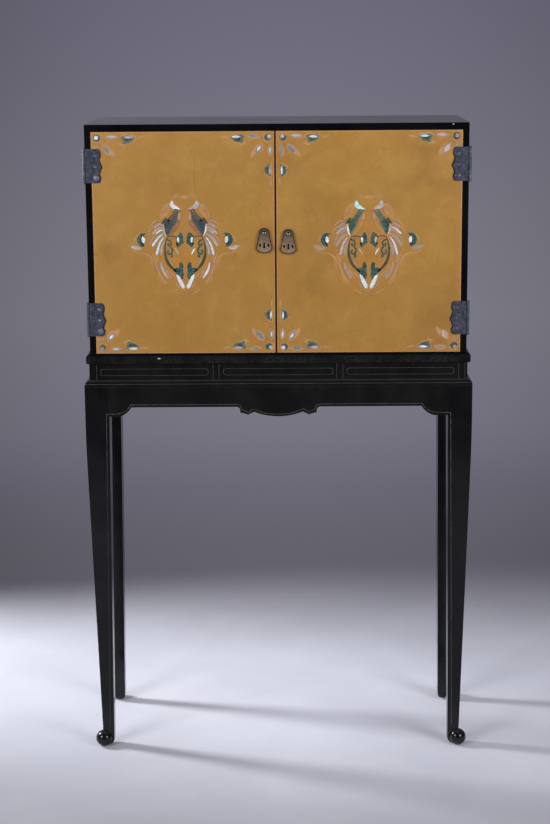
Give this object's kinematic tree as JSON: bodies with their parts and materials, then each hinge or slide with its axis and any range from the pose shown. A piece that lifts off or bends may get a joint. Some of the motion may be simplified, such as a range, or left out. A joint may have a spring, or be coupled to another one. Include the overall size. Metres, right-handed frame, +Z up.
{
  "type": "cabinet on stand",
  "caption": "Black lacquered cabinet with two gold inlaid doors, engraved hinges and bell pulls, on a stand with a shaped apron, tapered legs and ball feet.",
  "frame": {"origin": "on the floor, under the middle of the whole cabinet", "axes": "+Z up; the doors face -Y; +X is to the right for someone who looks at the doors"},
  "size_m": [0.8, 0.3214, 1.326],
  "materials": {
    "black_lacquer": "gloss black lacquer on wood with fine gilt lines",
    "gold_lacquer": "ochre gold lacquer with mottled patches and shell inlay",
    "red_lacquer": "dark red satin lacquer",
    "plain_wood": "bare planed softwood",
    "gunmetal": "dark blue-grey engraved metal, worn bright on the edges",
    "bronze": "aged brown bronze",
    "steel": "plain steel",
    "brass": "dull brass"
  },
  "bodies": {
    "stand_and_carcase": {"leg_front_left": "black_lacquer", "leg_front_right": "black_lacquer", "leg_back_left": "black_lacquer", "leg_back_right": "black_lacquer", "ball_foot_front_left": "black_lacquer", "ball_foot_front_right": "black_lacquer", "ball_foot_back_left": "black_lacquer", "ball_foot_back_right": "black_lacquer", "apron_front": "black_lacquer", "apron_back": "black_lacquer", "apron_left": "black_lacquer", "apron_right": "black_lacquer", "shoulder_moulding_front": "black_lacquer", "shoulder_moulding_back": "black_lacquer", "shoulder_moulding_left": "black_lacquer", "shoulder_moulding_right": "black_lacquer", "waist_rail_front": "black_lacquer", "waist_rail_back": "black_lacquer", "waist_rail_left": "black_lacquer", "waist_rail_right": "black_lacquer", "top_moulding_front": "black_lacquer", "top_moulding_back": "black_lacquer", "top_moulding_left": "black_lacquer", "top_moulding_right": "black_lacquer", "stand_board": "plain_wood", "glue_blocks": "plain_wood", "carcase_dowels": "plain_wood", "fixing_screws": "steel", "carcase_top": "black_lacquer", "carcase_bottom": "black_lacquer", "carcase_side_left": "black_lacquer", "carcase_side_right": "black_lacquer", "back_panel": "black_lacquer", "shelf_lower": "red_lacquer", "shelf_upper": "red_lacquer", "door_stops": "red_lacquer", "shelf_pins": "brass", "carcase_hinge_leaf_left_upper": "gunmetal", "carcase_hinge_leaf_left_lower": "gunmetal", "carcase_hinge_leaf_right_upper": "gunmetal", "carcase_hinge_leaf_right_lower": "gunmetal", "hinge_pins": "gunmetal", "carcase_hinge_nails": "gunmetal"},
    "door_left": {"door_left": "gold_lacquer", "door_hinge_leaf_left_upper": "gunmetal", "door_hinge_leaf_left_lower": "gunmetal", "door_left_hinge_nails": "gunmetal", "pull_stud_left": "bronze", "bolt_plates": "brass"},
    "door_right": {"door_right": "gold_lacquer", "door_hinge_leaf_right_upper": "gunmetal", "door_hinge_leaf_right_lower": "gunmetal", "door_right_hinge_nails": "gunmetal", "pull_stud_right": "bronze", "lock_case": "steel"},
    "pull_left": {"pull_plate_left": "bronze"},
    "pull_right": {"pull_plate_right": "bronze"},
    "lock_bolt": {"lock_bolt": "brass"},
    "flush_bolt_upper": {"flush_bolt_upper": "brass"},
    "flush_bolt_lower": {"flush_bolt_lower": "brass"}
  },
  "joints": [
    {"name": "left_door_swing", "type": "hinge", "parent": "stand_and_carcase", "child": "door_left", "pos_m": [-0.3896, -0.1446, 1.086], "axis": [0, 0, -1], "range_deg": [0, 180]},
    {"name": "right_door_swing", "type": "hinge", "parent": "stand_and_carcase", "child": "door_right", "pos_m": [0.3896, -0.1446, 1.086], "axis": [0, 0, 1], "range_deg": [0, 180]},
    {"name": "left_pull_tip", "type": "hinge", "parent": "door_left", "child": "pull_left", "pos_m": [-0.0267, -0.1467, 1.1064], "axis": [-1, 0, 0], "range_deg": [0, 12]},
    {"name": "right_pull_tip", "type": "hinge", "parent": "door_right", "child": "pull_right", "pos_m": [0.0223, -0.1467, 1.1039], "axis": [-1, 0, 0], "range_deg": [0, 12]},
    {"name": "lock_bolt_throw", "type": "slide", "parent": "door_right", "child": "lock_bolt", "axis": [-1, 0, 0], "range_m": [0, 0.008]},
    {"name": "flush_bolt_upper_throw", "type": "slide", "parent": "door_left", "child": "flush_bolt_upper", "axis": [0, 0, 1], "range_m": [0, 0.008]},
    {"name": "flush_bolt_lower_throw", "type": "slide", "parent": "door_left", "child": "flush_bolt_lower", "axis": [0, 0, -1], "range_m": [0, 0.008]}
  ]
}
